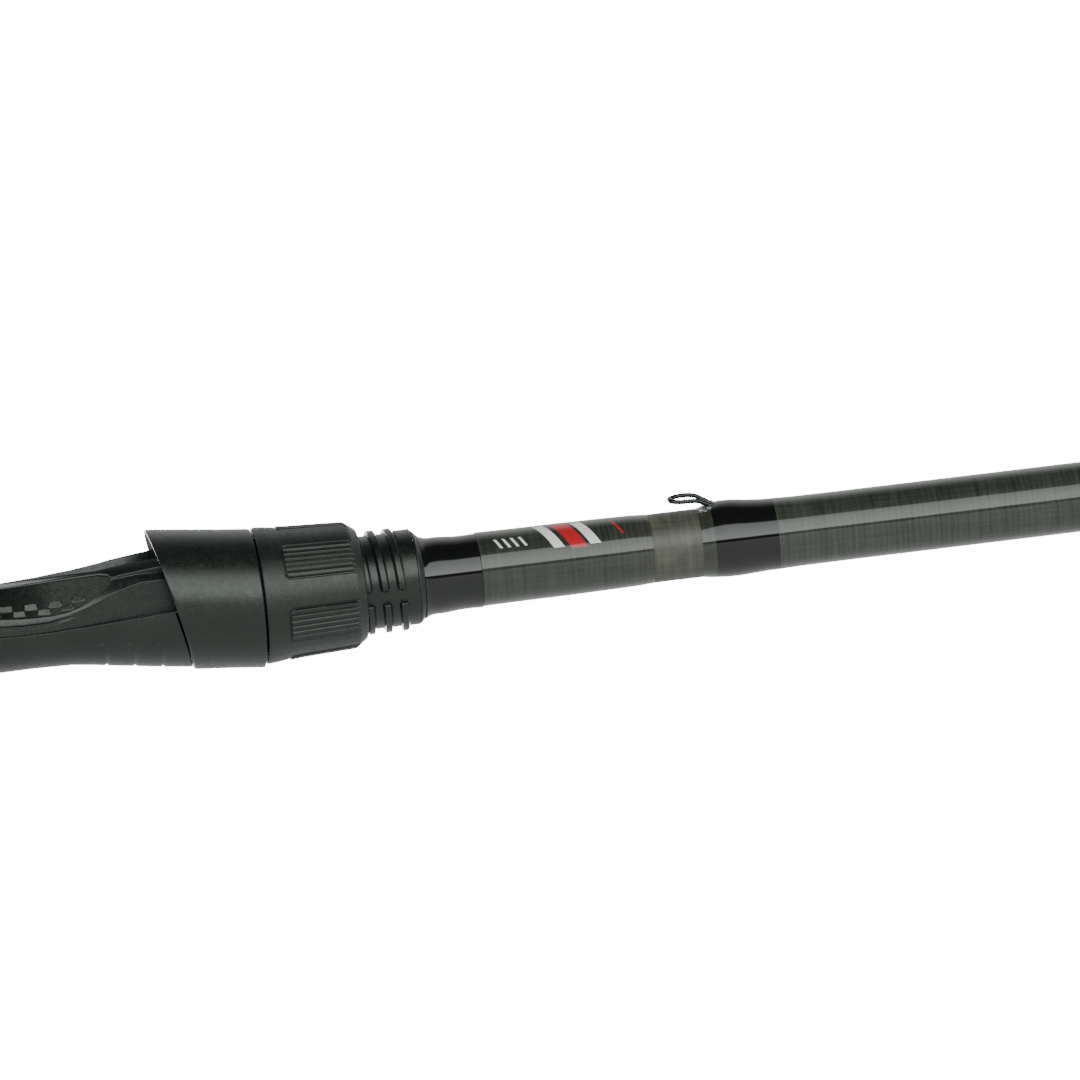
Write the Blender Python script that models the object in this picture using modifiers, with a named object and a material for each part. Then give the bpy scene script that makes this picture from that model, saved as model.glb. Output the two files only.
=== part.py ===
"""One-piece spinning rod: split grips, screw-lock reel seat, carbon blank, hook keeper, guides.

Frame: the origin is the centre of the butt cap's flat end, +X runs along the blank to the tip
and +Z is the side of the rod that carries the reel foot and the guides. Lengths are written in
millimetres and turned into metres where a mesh or a curve is made.
"""
import math

import bmesh
import bpy
from mathutils import Euler, Vector

MM = 0.001

# Driving dimensions, in millimetres along X from the butt unless a comment says otherwise.
ROD_LENGTH = 2134.0
SEAT_START = 236.0
SEAM = 336.0                    # face between the moving hood and the lock nut, at rest
GAP = 0.1                       # glue line between pieces that are fixed together
SLIDING_GAP = 0.3               # clearance around pieces that move

# The blank is bare up to its keeper wrap and clear-coated in front of it.
BLANK_RADII = ((8.0, 6.85), (422.0, 6.58), (436.9, 6.57), (437.6, 6.74), (495.0, 6.68),
               (620.0, 6.1), (1100.0, 4.4), (1700.0, 2.4), (2126.0, 1.0))
BLANK_WALLS = ((8.0, 1.3), (422.0, 1.2), (1100.0, 0.9), (2126.0, 0.35))

SEAT_BORE = 7.25                # radius
BARREL_RADIUS = 10.0            # plain barrel that the moving hood slides on
THREAD_CORE = 9.2
THREAD_CREST = 10.1
THREAD_PITCH = 3.3
THREAD_START = SEAM + 1.2
THREAD_END = SEAM + 27.0
SEAT_END = SEAM + 30.0
NUT_FRONT = SEAM + 20.2
KEYWAY_ANGLE = 102.0            # degrees either side of the top
KEYWAY_WIDTH = 2.0
FIRST_PAD_ANGLE = -7.0          # degrees from the top to the nut's first grip pad
BED_HEIGHT = 7.95
BED_HALF_WIDTH = 5.6
BED_START = 271.5
BED_END = 314.4
POCKET_FLOOR = 7.7
HOOD_MOUTH_TOP = SEAM - 20.2
HOOD_MOUTH_BOTTOM = SEAM - 13.7
HOOD_MOUTH_SLANT = math.atan2(HOOD_MOUTH_BOTTOM - HOOD_MOUTH_TOP, 27.4)
FIXED_HOOD_MOUTH = 269.0
HOOD_CAVITY_RADIUS = 12.1
HOOD_CAVITY_RISE = 1.2

KEEPER_WIRE = 0.4               # radius

# Guides from the butt end: ring size, distance from the tip, ring height over the blank, feet.
GUIDES = ((30.0, 1092.0, 38.0, 2), (20.0, 838.0, 26.0, 2), (12.0, 635.0, 17.0, 2),
          (8.0, 470.0, 11.5, 1), (6.0, 330.0, 8.5, 1), (5.5, 210.0, 7.0, 1), (5.5, 102.0, 6.6, 1))
GUIDE_RAKE = 20.0               # degrees that a ring leans towards the tip

HOOD_TILT = 6.0                 # degrees that the moving hood's outside leans down towards the tip

STEPS = 28                      # facets of the handle's turned pieces
FINE_STEPS = 16                 # facets of the thin ones
RING_STEPS = 20                 # facets of the guides' rings

# Colour, roughness and metallic value of each material.
FINISHES = {
    "black_rubber": ((0.012, 0.012, 0.012), 0.75, 0.0),
    "eva_foam": ((0.016, 0.016, 0.015), 0.9, 0.0),
    "seat_plastic": ((0.035, 0.04, 0.036), 0.5, 0.0),
    "gunmetal": ((0.12, 0.125, 0.125), 0.3, 1.0),
    "carbon_blank": ((0.045, 0.048, 0.042), 0.28, 0.0),
    "wrap_epoxy": ((0.004, 0.005, 0.006), 0.12, 0.0),
    "coat_epoxy": ((0.04, 0.044, 0.038), 0.12, 0.0),
    "guide_frame": ((0.02, 0.021, 0.022), 0.25, 1.0),
    "ring_ceramic": ((0.03, 0.03, 0.032), 0.15, 0.0),
    "cork_arbor": ((0.45, 0.4, 0.3), 0.9, 0.0),
    "stainless": ((0.55, 0.55, 0.54), 0.25, 1.0),
}


def clear_scene():
    for old in list(bpy.data.objects):
        bpy.data.objects.remove(old, do_unlink=True)


def new_collection(name):
    group = bpy.data.collections.new(name)
    bpy.context.scene.collection.children.link(group)
    return group


def add_material(obj, finish):
    """Give obj a material of its own, from the table of finishes."""
    colour, roughness, metallic = FINISHES[finish]
    material = bpy.data.materials.new(obj.name + "_" + finish)
    material.use_nodes = True
    shader = material.node_tree.nodes["Principled BSDF"]
    shader.inputs["Base Color"].default_value = (*colour, 1.0)
    shader.inputs["Roughness"].default_value = roughness
    shader.inputs["Metallic"].default_value = metallic
    obj.data.materials.clear()
    obj.data.materials.append(material)


def between(table, x):
    """Read a value at x from a table of (x, value) pairs, in straight lines between them."""
    for (x0, v0), (x1, v1) in zip(table, table[1:]):
        if x <= x1:
            return v0 + (v1 - v0) * (x - x0) / (x1 - x0)
    return table[-1][1]


def blank_radius(x):
    return between(BLANK_RADII, x)


def link_mesh(name, mesh, group, finish=None):
    obj = bpy.data.objects.new(name, mesh)
    group.objects.link(obj)
    if finish:
        add_material(obj, finish)
    if group is cutters:
        obj.hide_render = True
        obj.display_type = "WIRE"
    return obj


def revolve(obj, steps, pitch=0.0, turns=1):
    screw = obj.modifiers.new("Turn", "SCREW")
    screw.axis = "Z"
    screw.steps = steps
    screw.render_steps = steps
    screw.screw_offset = pitch
    screw.iterations = turns
    screw.use_merge_vertices = pitch == 0.0
    screw.merge_threshold = 0.000001
    screw.use_smooth_shade = True


def turned(name, outside, bore, finish, group=None, steps=STEPS, centre=(0.0, 0.0)):
    """Turn a closed profile about the rod's axis; centre moves the axis in Y and Z.

    outside and bore are (x, radius) points from the butt towards the tip. Without a bore the
    outside runs to the axis at both ends.
    """
    profile = list(reversed(outside)) + list(bore)
    mesh = bpy.data.meshes.new(name)
    corners = [(radius * MM, 0.0, x * MM) for x, radius in profile]
    edges = [(i, i + 1) for i in range(len(corners) - 1)]
    if bore:
        edges.append((len(corners) - 1, 0))
    mesh.from_pydata(corners, edges, [])
    obj = link_mesh(name, mesh, group or parts, finish)
    obj.rotation_euler = (0.0, math.pi / 2, 0.0)
    obj.location = (0.0, centre[0] * MM, centre[1] * MM)
    revolve(obj, steps)
    return obj


def cylinder(name, x0, x1, radius, centre=(0.0, 0.0), group=None, steps=STEPS):
    ends = [(x0, 0.0), (x0, radius), (x1, radius), (x1, 0.0)]
    return turned(name, ends, [], None, group or cutters, steps, centre)


def box(name, low, high, group=None, finish=None):
    mesh = bpy.data.meshes.new(name)
    bm = bmesh.new()
    bmesh.ops.create_cube(bm, size=1.0)
    size = [(high[i] - low[i]) * MM for i in range(3)]
    middle = [(high[i] + low[i]) / 2 * MM for i in range(3)]
    bmesh.ops.scale(bm, vec=size, verts=bm.verts)
    bm.to_mesh(mesh)
    bm.free()
    obj = link_mesh(name, mesh, group or cutters, finish)
    obj.location = middle
    return obj


def wire(name, points, radius, resolution=2):
    """A round wire through points, as a closed mesh among the cutters."""
    curve = bpy.data.curves.new(name, "CURVE")
    curve.dimensions = "3D"
    curve.bevel_depth = radius * MM
    curve.bevel_resolution = resolution
    curve.use_fill_caps = True
    spline = curve.splines.new("POLY")
    spline.points.add(len(points) - 1)
    for point, place in zip(spline.points, points):
        point.co = (*[value * MM for value in place], 1.0)
    source = bpy.data.objects.new(name + "_curve", curve)
    bpy.context.scene.collection.objects.link(source)
    bpy.context.view_layer.update()
    evaluated = source.evaluated_get(bpy.context.evaluated_depsgraph_get())
    mesh = bpy.data.meshes.new_from_object(evaluated)
    mesh.name = name
    bm = bmesh.new()
    bm.from_mesh(mesh)
    bmesh.ops.remove_doubles(bm, verts=bm.verts, dist=0.000001)
    bm.to_mesh(mesh)
    bm.free()
    bpy.data.objects.remove(source, do_unlink=True)
    return link_mesh(name, mesh, cutters)


def smooth_path(points, per_span=4):
    """Points along a Catmull-Rom curve through the given ones."""
    knots = [Vector(p) for p in points]
    knots = [2 * knots[0] - knots[1], *knots, 2 * knots[-1] - knots[-2]]
    path = []
    for a, b, c, d in zip(knots, knots[1:], knots[2:], knots[3:]):
        for step in range(per_span):
            t = step / per_span
            path.append(0.5 * (2 * b + (c - a) * t + (2 * a - 5 * b + 4 * c - d) * t ** 2
                               + (3 * b - a - 3 * c + d) * t ** 3))
    path.append(knots[-2])
    return path


def combine(obj, other, operation="DIFFERENCE"):
    step = obj.modifiers.new(operation.title(), "BOOLEAN")
    step.operation = operation
    step.solver = "EXACT"
    step.object = other


def cut(obj, *tools):
    for tool in tools:
        combine(obj, tool)


def join(obj, *tools):
    for tool in tools:
        combine(obj, tool, "UNION")


def thread(name, root, crest, root_width, crest_width, start, turns):
    """A right-hand helical ridge between two radii, as a closed mesh among the cutters."""
    mesh = bpy.data.meshes.new(name)
    corners = [(root, start + root_width / 2), (crest, start + crest_width / 2),
               (crest, start - crest_width / 2), (root, start - root_width / 2)]
    places = [(radius * MM, 0.0, x * MM) for radius, x in corners]
    mesh.from_pydata(places, [(0, 1), (1, 2), (2, 3), (3, 0)], [])
    source = bpy.data.objects.new(name + "_profile", mesh)
    bpy.context.scene.collection.objects.link(source)
    revolve(source, STEPS, THREAD_PITCH * MM, turns)
    bpy.context.view_layer.update()
    evaluated = source.evaluated_get(bpy.context.evaluated_depsgraph_get())
    swept = bpy.data.meshes.new_from_object(evaluated)
    bm = bmesh.new()
    bm.from_mesh(swept)
    bmesh.ops.holes_fill(bm, edges=[edge for edge in bm.edges if edge.is_boundary])
    bmesh.ops.recalc_face_normals(bm, faces=bm.faces)
    bm.to_mesh(swept)
    bm.free()
    bpy.data.objects.remove(source, do_unlink=True)
    obj = link_mesh(name, swept, cutters)
    obj.rotation_euler = (0.0, math.pi / 2, 0.0)
    return obj


def on_circle(radius, degrees_from_top):
    """Y and Z of a point around the rod's axis; positive angles turn towards +Y."""
    angle = math.radians(degrees_from_top)
    return radius * math.sin(angle), radius * math.cos(angle)


def slant_cutter(name, side):
    """A block with its face on the hood's slanted mouth, filling the -X or +X side of it."""
    half = 30.0
    block = box(name, (-half, -half, -half), (half, half, half))
    lean = Euler((0.0, -HOOD_MOUTH_SLANT, 0.0))
    offset = Vector((side * half, 0.0, 0.0))
    offset.rotate(lean)
    gap = SLIDING_GAP if side > 0 else 0.0
    middle = Vector(((HOOD_MOUTH_TOP + HOOD_MOUTH_BOTTOM) / 2 - gap, 0.0, 1.5))
    block.rotation_euler = lean
    block.location = (middle + offset) * MM
    return block


# ---------------------------------------------------------------- handle

def grips():
    turned("butt_cap", [(0.0, 0.0), (0.0, 11.0), (0.8, 12.4), (2.4, 13.4), (12.0, 13.6), (13.6, 13.0),
                        (14.0, 12.4), (14.0, 0.0)], [], "black_rubber")
    cut(bpy.data.objects["butt_cap"],
        cylinder("butt_cap_socket", 7.6, 15.0, blank_radius(8.0) + GAP))
    for name, x0, x1, r0, r1 in (("butt_grip", 14.2, 92.0, 13.2, 10.6),
                                 ("rear_grip", 166.2, 233.4, 10.4, 12.2)):
        swell = 0.5
        outside = [(x0, r0 - 0.6), (x0 + 0.6, r0)]
        outside += [(x0 + (x1 - x0) * t, r0 + (r1 - r0) * t + swell * math.sin(math.pi * t))
                    for t in (0.25, 0.5, 0.75)]
        outside += [(x1 - 0.6, r1), (x1, r1 - 0.6)]
        turned(name, outside, [(x0, blank_radius(x0) + GAP), (x1, blank_radius(x1) + GAP)],
               "eva_foam")


def ring(name, x0, x1, r0, r1, finish, bore=None):
    """A short collar on the blank, with its edges broken."""
    inner = bore or blank_radius(x0) + GAP
    edge = 0.3
    outside = [(x0, r0 - edge), (x0 + edge, r0), (x1 - edge, r1), (x1, r1 - edge)]
    return turned(name, outside, [(x0, inner), (x1, inner)], finish)


def collars():
    ring("butt_grip_check", 92.2, 95.6, 10.4, 8.0, "gunmetal")
    ring("rear_grip_check", 162.6, 166.0, 8.0, 10.2, "gunmetal")
    ring("seat_trim_ring", 233.6, 235.8, 12.0, 12.0, "gunmetal")
    x0 = SEAT_END + GAP
    turned("winding_check", [(x0, 9.1), (x0 + 0.2, 9.35), (x0 + 0.9, 8.9), (x0 + 1.7, 8.1),
                             (x0 + 2.6, 7.6), (x0 + 3.5, 7.35), (x0 + 3.6, 7.1)],
           [(x0, blank_radius(x0) + GAP), (x0 + 3.6, blank_radius(x0) + GAP)], "black_rubber")


def arbors():
    for name, x0, x1 in (("rear_arbor", 240.0, 260.0), ("middle_arbor", 285.0, 305.0),
                         ("front_arbor", 340.0, 360.0)):
        turned(name, [(x0, SEAT_BORE - 0.05), (x1, SEAT_BORE - 0.05)],
               [(x0, blank_radius(x0) + 0.05), (x1, blank_radius(x0) + 0.05)], "cork_arbor")


# ---------------------------------------------------------------- reel seat

def seat_body():
    flare = [(236.0, 11.4), (237.0, 12.0), (250.0, 12.6), (262.0, 12.0), (268.0, 10.8), (276.0, 9.3),
             (284.0, 8.75), (298.0, 9.0), (303.0, 9.7), (308.0, 10.4), (312.5, 11.1), (317.0, 11.7),
             (330.0, 12.4)]
    body = turned("seat_body", [(236.0, 0.0), *flare, (330.0, 0.0)], [], "seat_plastic")
    join(body, fixed_hood_form())
    cut(body, slant_cutter("shoulder_cutter", 1), cheek_relief())
    join(body, barrel(), seat_thread())
    cut(body, cylinder("seat_bore", SEAT_START - 1, SEAT_END + 1, SEAT_BORE),
        box("bed_cutter", (BED_START, -BED_HALF_WIDTH, BED_HEIGHT), (BED_END, BED_HALF_WIDTH, 20.0)),
        foot_pocket("fixed_hood_pocket", 252.0, BED_START + 0.2),
        box("toe_cutter", (BED_END - 0.2, -6.7, POCKET_FLOOR), (SEAM - 7.0, 6.7, 20.0)))


def fixed_hood_form():
    """The fixed hood's outside, a short dome around the rear end of the reel foot."""
    mouth = FIXED_HOOD_MOUTH
    return turned("fixed_hood_form", [(240.0, 0.0), (240.0, 10.0), (241.5, 11.9), (245.0, 13.0),
                                      (250.0, 13.5), (262.0, 13.7), (mouth - 0.6, 13.6),
                                      (mouth, 13.0), (mouth, 0.0)], [], None, cutters,
                  centre=(0.0, 1.4))


def foot_pocket(name, x0, x1):
    """The space for one end of a reel foot: flat below, arched above."""
    pocket = cylinder(name, x0, x1, HOOD_CAVITY_RADIUS, (0.0, HOOD_CAVITY_RISE), steps=27)
    combine(pocket, box(name + "_limits", (x0 - 1, -6.6, POCKET_FLOOR), (x1 + 1, 6.6, 20.0)),
            "INTERSECT")
    return pocket


def cheek_relief():
    """Narrows the cheeks above the lower shell, where the barrel runs in under the hood."""
    x0 = SEAM - 27.0
    relief = turned("cheek_relief", [(x0, 20.0), (SEAM, 20.0)], [(x0, 10.2), (SEAM, 10.2)], None,
                    cutters)
    combine(relief, box("cheek_relief_limits", (x0 - 1, -25.0, -1.5), (SEAM + 1, 25.0, 6.5)),
            "INTERSECT")
    return relief


def barrel():
    collar = THREAD_CORE + 0.2
    outside = [(311.0, 0.0), (311.0, BARREL_RADIUS), (SEAM - 1.5, BARREL_RADIUS),
               (SEAM - 0.7, THREAD_CORE), (THREAD_END + 0.5, THREAD_CORE), (THREAD_END + 0.8, collar),
               (SEAT_END - 0.3, collar), (SEAT_END, collar - 0.3), (SEAT_END, 0.0)]
    return turned("seat_barrel", outside, [], None, cutters)


def seat_thread():
    """The seat's thread, broken by a keyway on each side."""
    ridge = thread("seat_thread", THREAD_CORE - 0.3, THREAD_CREST, 1.9, 1.5, THREAD_START, 8)
    for side in (-1, 1):
        y, z = on_circle(THREAD_CREST, side * KEYWAY_ANGLE)
        keyway = box("keyway_cutter_%d" % side, (-20.0, -KEYWAY_WIDTH / 2, -0.95),
                     (20.0, KEYWAY_WIDTH / 2, 2.0))
        place(keyway, SEAM + 15.0, y, z, side * KEYWAY_ANGLE)
        cut(ridge, keyway)
    return ridge


def place(obj, x, y, z, degrees_from_top):
    """Set obj at a point around the rod, with its own +Z pointing outwards."""
    obj.location = (x * MM, y * MM, z * MM)
    obj.rotation_euler = (-math.radians(degrees_from_top), 0.0, 0.0)


def liner(name, x0, x1):
    """A stainless arch that lines the roof of a hood's pocket."""
    outer = HOOD_CAVITY_RADIUS - GAP
    inner = outer - 0.45
    arch = turned(name, [(x0, outer), (x1, outer)], [(x0, inner), (x1, inner)], "stainless",
                  centre=(0.0, HOOD_CAVITY_RISE))
    combine(arch, box(name + "_limits", (x0 - 1, -6.2, 9.6), (x1 + 1, 6.2, 20.0)), "INTERSECT")


def moving_hood():
    """The hood that the lock nut drives; its outside leans, its bore doesn't."""
    x0 = -26.0
    hood = turned("moving_hood", [(x0, 0.0), (x0, 13.5), (-8.0, 13.45), (2.0, 13.35), (2.0, 0.0)], [],
                  "seat_plastic")
    hood.location = (SEAM * MM, 0.0, -0.15 * MM)
    hood.rotation_euler = (0.0, math.pi / 2 + math.radians(HOOD_TILT), 0.0)
    front = SEAM - 0.1
    cut(hood, slant_cutter("hood_mouth_cutter", -1),
        box("hood_front_cutter", (front, -20.0, -20.0), (SEAM + 10.0, 20.0, 20.0)),
        cylinder("hood_cavity", SEAM - 40.0, SEAM - 7.0, HOOD_CAVITY_RADIUS,
                 (0.0, HOOD_CAVITY_RISE)),
        cylinder("hood_bore", SEAM - 30.0, SEAM + 1.0, BARREL_RADIUS + SLIDING_GAP),
        cylinder("hood_snap_groove", SEAM - 3.2, SEAM + 1.0, 11.3))


def coupling_ring():
    """The snap ring that keeps the lock nut on the moving hood."""
    inner = THREAD_CREST + 0.25
    turned("coupling_ring", [(SEAM - 3.1, 11.2), (SEAM + 1.6, 11.2), (SEAM + 1.8, 11.6),
                             (SEAM + 2.6, 11.6), (SEAM + 2.8, 11.3)],
           [(SEAM - 3.1, inner), (SEAM + 2.8, inner)], "black_rubber")


def lock_nut():
    rear = SEAM + 0.25
    bore = THREAD_CREST + 0.2
    outside = [(rear, 13.0), (rear + 0.4, 13.35), (SEAM + 3.4, 13.1), (SEAM + 4.2, 12.8),
               (SEAM + 7.0, 12.55), (SEAM + 14.5, 12.25), (NUT_FRONT - 1.8, 12.0),
               (NUT_FRONT - 0.2, 10.7), (NUT_FRONT, 10.5)]
    inside = [(rear, 11.45), (SEAM + 1.2, 11.45), (SEAM + 1.4, 11.85), (SEAM + 3.1, 11.85),
              (SEAM + 3.1, bore), (NUT_FRONT, bore)]
    nut = turned("lock_nut", outside, inside, "seat_plastic", steps=36)
    start = THREAD_START + THREAD_PITCH * 1.5
    join(nut, thread("nut_thread", bore + 0.3, THREAD_CORE + 0.25, 1.0, 1.0, start, 3))
    for pad in range(6):
        angle = FIRST_PAD_ANGLE + 60.0 * pad
        y, z = on_circle(12.05, angle)
        recess = box("nut_recess_%d" % pad, (-6.9, -3.2, 0.0), (6.9, 3.2, 3.0))
        place(recess, SEAM + 11.2, y, z, angle)
        cut(nut, recess)


# ---------------------------------------------------------------- wraps, coat and hook keeper

def coats():
    start = SEAM + 34.5
    end = SEAM + 43.0
    turned("butt_wrap", [(start, 7.1), (start + 0.4, 7.2), (start + 4.0, 7.1), (end - 0.3, 7.03),
                         (end, 6.9)],
           [(start, blank_radius(start) + 0.06), (end, blank_radius(end) + 0.06)], "wrap_epoxy")
    coat = SEAM + 43.1
    end = SEAM + 76.6
    turned("butt_coat", [(coat, 6.9), (coat + 0.4, 7.0), (coat + 12.0, 6.93), (end - 9.0, 6.85),
                         (end - 1.0, 6.72), (end, 6.68)],
           [(coat, blank_radius(coat) + 0.06), (end, blank_radius(end) + 0.06)], "coat_epoxy")
    x0 = SEAM + 86.0
    end = x0 + 14.7
    wrap = turned("keeper_wrap", [(x0, 6.7), (x0 + 1.5, 7.15), (x0 + 5.0, 7.4), (x0 + 9.0, 7.2),
                                  (x0 + 12.5, 6.9), (end, 6.74)],
                  [(x0, blank_radius(x0) + 0.06), (end, blank_radius(x0) + 0.06)], "wrap_epoxy")
    combine(wrap, swollen_foot(x0), "UNION")
    cut(wrap, keeper_clearance(x0))


def swollen_foot(x0):
    """The hump that the wrap makes over the hook keeper's two legs."""
    hump = turned("keeper_hump", [(x0 + 0.2, 0.0), (x0 + 0.2, 2.2), (x0 + 4.0, 2.5), (x0 + 9.0, 1.0),
                                  (x0 + 9.5, 0.0)], [], None, cutters, 16, (0.0, 6.3))
    cut(hump, cylinder("keeper_hump_bore", x0 - 1, x0 + 12, blank_radius(x0) + 0.06))
    return hump


def keeper_clearance(x0):
    return box("keeper_slot", (x0 - 1.0, -2.0, 6.0), (x0 + 6.4, 2.0, 8.0))


def hook_keeper():
    """A loop of wire standing just over the blank, its two ends laid flat for the wrap."""
    foot = SEAM + 92.0
    low = blank_radius(foot) + KEEPER_WIRE + 0.1
    side = 1.3
    leg = [(foot, side, low), (foot - 4.0, side, low), (foot - 7.0, side + 0.5, low + 1.0),
           (foot - 8.6, side + 0.8, low + 1.7), (foot - 11.0, side + 1.0, low + 1.9)]
    bend = [(foot - 13.0, 1.5, low + 1.9)]
    mirrored = [(x, -y, z) for x, y, z in reversed(leg)]
    loop = leg + bend + [(bend[0][0], -bend[0][1], bend[0][2])] + mirrored
    obj = wire("hook_keeper", smooth_path(loop, 3), KEEPER_WIRE)
    cutters.objects.unlink(obj)
    parts.objects.link(obj)
    obj.hide_render = False
    obj.display_type = "TEXTURED"
    add_material(obj, "gunmetal")


def blank():
    outside = [(x, r) for x, r in BLANK_RADII]
    bore = [(x, blank_radius(x) - wall) for x, wall in BLANK_WALLS]
    turned("blank", outside, bore, "carbon_blank", steps=STEPS)


# ---------------------------------------------------------------- guides

def guide_rings(name, size, centre):
    """The frame's collar and the ceramic ring inside it, both leaning towards the tip."""
    outer = size / 2
    half = 0.7 + size * 0.025
    bore = outer - 0.7 - size * 0.02
    seat = bore - GAP
    hole = bore - 0.8 - size * 0.02
    lip = half + 0.3
    collar = turned(name + "_frame", [(-half, outer - 0.3), (-half + 0.3, outer), (half - 0.3, outer),
                                      (half, outer - 0.3)], [(-half, bore), (half, bore)],
                    "guide_frame", steps=RING_STEPS)
    insert = turned(name + "_ring", [(-lip, seat - 0.4), (-half, seat), (half, seat), (lip, seat - 0.4)],
                    [(-half * 0.5, hole), (half * 0.5, hole)], "ring_ceramic", steps=RING_STEPS)
    for obj in (collar, insert):
        obj.rotation_euler = (0.0, math.pi / 2 + math.radians(GUIDE_RAKE), 0.0)
        obj.location = centre * MM
    return collar


def on_collar(centre, size, degrees_from_bottom, side):
    """A point just inside a leaning collar's rim, left or right of its lowest point."""
    angle = math.radians(degrees_from_bottom)
    reach = size / 2 - 0.1
    point = Vector((0.0, side * reach * math.sin(angle), -reach * math.cos(angle)))
    point.rotate(Euler((0.0, math.radians(GUIDE_RAKE), 0.0)))
    return centre + point


def guide(number, size, from_tip, height, feet):
    name = "guide_%d" % number
    x = ROD_LENGTH - from_tip
    radius = blank_radius(x)
    centre = Vector((x, 0.0, radius + height))
    collar = guide_rings(name, size, centre)
    rod = 0.45 + size * 0.02
    # Each foot: where it starts, which way it points and how far up the collar its legs reach.
    landings = [("rear", x - height * 0.8, -1, 60.0 if feet == 2 else 35.0)]
    if feet == 2:
        landings.append(("front", x + height * 0.28 + size * 0.1, 1, 35.0))
    for end, foot_x, towards, reach in landings:
        toe_x = foot_x + towards * (9.0 + size * 0.25)
        floor = blank_radius(min(foot_x, toe_x)) + GAP
        for side in (-1, 1):
            start = on_collar(centre, size, reach, side)
            landing = Vector((foot_x, side * rod * 0.55, floor + rod * 1.08))
            knee = start.lerp(landing, 0.55) + Vector((0.0, side * size * 0.03, 0.0))
            heel = landing + Vector((towards * (3.3 + 0.3 * side), 0.0, 0.0))
            join(collar, wire("%s_%s_leg_%d" % (name, end, side), [start, knee, landing, heel],
                              rod, 1))
        low, high = sorted((foot_x + towards * 0.35, toe_x))
        foot = box("%s_%s_foot" % (name, end), (low, -rod * 1.5, floor),
                   (high, rod * 1.5, floor + rod * 1.1))
        join(collar, foot)
        guide_wrap("%s_%s_wrap" % (name, end), foot_x, toe_x, rod)


def guide_wrap(name, foot_x, toe_x, rod):
    """Thread and epoxy around the blank and one foot of a guide."""
    towards = 1 if toe_x > foot_x else -1
    start = foot_x + towards * 4.0
    low, high = sorted((start, toe_x + towards * 3.0))
    bore = blank_radius(low) + 0.06
    outer = bore + rod * 0.9 + 0.5
    wrap = turned(name, [(low, 0.0), (low, outer - 0.25), (low + 0.6, outer), (high - 0.6, outer - 0.1),
                         (high, outer - 0.35), (high, 0.0)], [], "wrap_epoxy", steps=FINE_STEPS,
                  centre=(0.0, rod * 0.45))
    slot_low, slot_high = sorted((start - towards * 2.0, toe_x + towards * 0.3))
    half = rod * 1.5 + GAP
    cut(wrap, cylinder(name + "_bore", low - 2, high + 2, bore),
        box(name + "_slot", (slot_low, -half, 0.0), (slot_high, half, bore + rod * 1.1 + 2 * GAP)))


def tip_top():
    """The last guide: a tube over the end of the blank, with a ring held above its end."""
    x0 = 2112.0
    bore = blank_radius(x0) + 0.1
    wall = 0.35
    size = 5.5
    centre = Vector((ROD_LENGTH - 2.2, 0.0, 3.9))
    collar = guide_rings("tip_top", size, centre)
    tube = turned("tip_top_tube", [(x0, 0.0), (x0, bore + wall), (2127.4, bore + wall),
                                   (2128.4, bore * 0.6), (2128.4, 0.0)], [], None, cutters,
                  FINE_STEPS)
    cut(tube, cylinder("tip_top_tube_bore", x0 - 1, 2126.5, bore))
    join(collar, tube)
    for side in (-1, 1):
        start = Vector((2120.0, side * 0.8, bore + 0.45))
        end = on_collar(centre, size, 70.0, side)
        join(collar, wire("tip_top_arm_%d" % side, [start, end], 0.45, 1))
    turned("tip_top_wrap", [(2105.5, blank_radius(x0) + 0.25), (2106.2, blank_radius(x0) + 0.55),
                            (2111.8, blank_radius(x0) + 0.55)],
           [(2105.5, blank_radius(2105.5) + 0.06), (2111.8, blank_radius(2105.5) + 0.06)],
           "wrap_epoxy", steps=STEPS)


def build():
    grips()
    collars()
    arbors()
    seat_body()
    liner("fixed_hood_liner", 252.4, FIXED_HOOD_MOUTH - 0.6)
    moving_hood()
    liner("moving_hood_liner", SEAM - 18.4, SEAM - 7.4)
    coupling_ring()
    lock_nut()
    coats()
    hook_keeper()
    blank()
    for number, (size, from_tip, height, feet) in enumerate(GUIDES, start=1):
        guide(number, size, from_tip, height, feet)
    tip_top()


clear_scene()
parts = new_collection("spinning_rod")
cutters = new_collection("cutters")
build()
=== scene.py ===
"""The looks of a spinning rod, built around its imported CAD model.

Lengths are written in millimetres and turned into metres where a mesh is made, while materials,
the studio and the camera are in metres. X runs along the rod from the butt, and an angle round
the rod is counted in degrees from the top. SEAM is the face between the moving hood and the lock
nut. Tables and values called rel are counted from it, unless a comment says otherwise.
"""

import math

import bpy
import numpy as np
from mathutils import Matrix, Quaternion, Vector

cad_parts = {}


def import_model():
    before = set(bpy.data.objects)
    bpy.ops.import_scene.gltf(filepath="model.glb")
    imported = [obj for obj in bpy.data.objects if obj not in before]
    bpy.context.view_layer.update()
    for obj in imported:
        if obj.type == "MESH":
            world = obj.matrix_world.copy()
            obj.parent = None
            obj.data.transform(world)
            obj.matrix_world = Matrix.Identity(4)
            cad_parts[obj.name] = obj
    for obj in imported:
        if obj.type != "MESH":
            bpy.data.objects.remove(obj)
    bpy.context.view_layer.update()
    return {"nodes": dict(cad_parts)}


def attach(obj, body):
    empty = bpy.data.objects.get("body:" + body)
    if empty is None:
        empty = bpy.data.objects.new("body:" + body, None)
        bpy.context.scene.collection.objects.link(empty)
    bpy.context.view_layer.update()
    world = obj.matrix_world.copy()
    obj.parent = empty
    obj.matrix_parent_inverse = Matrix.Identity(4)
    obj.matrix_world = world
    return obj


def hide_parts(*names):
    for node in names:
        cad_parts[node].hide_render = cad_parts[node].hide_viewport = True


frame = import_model()

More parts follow.
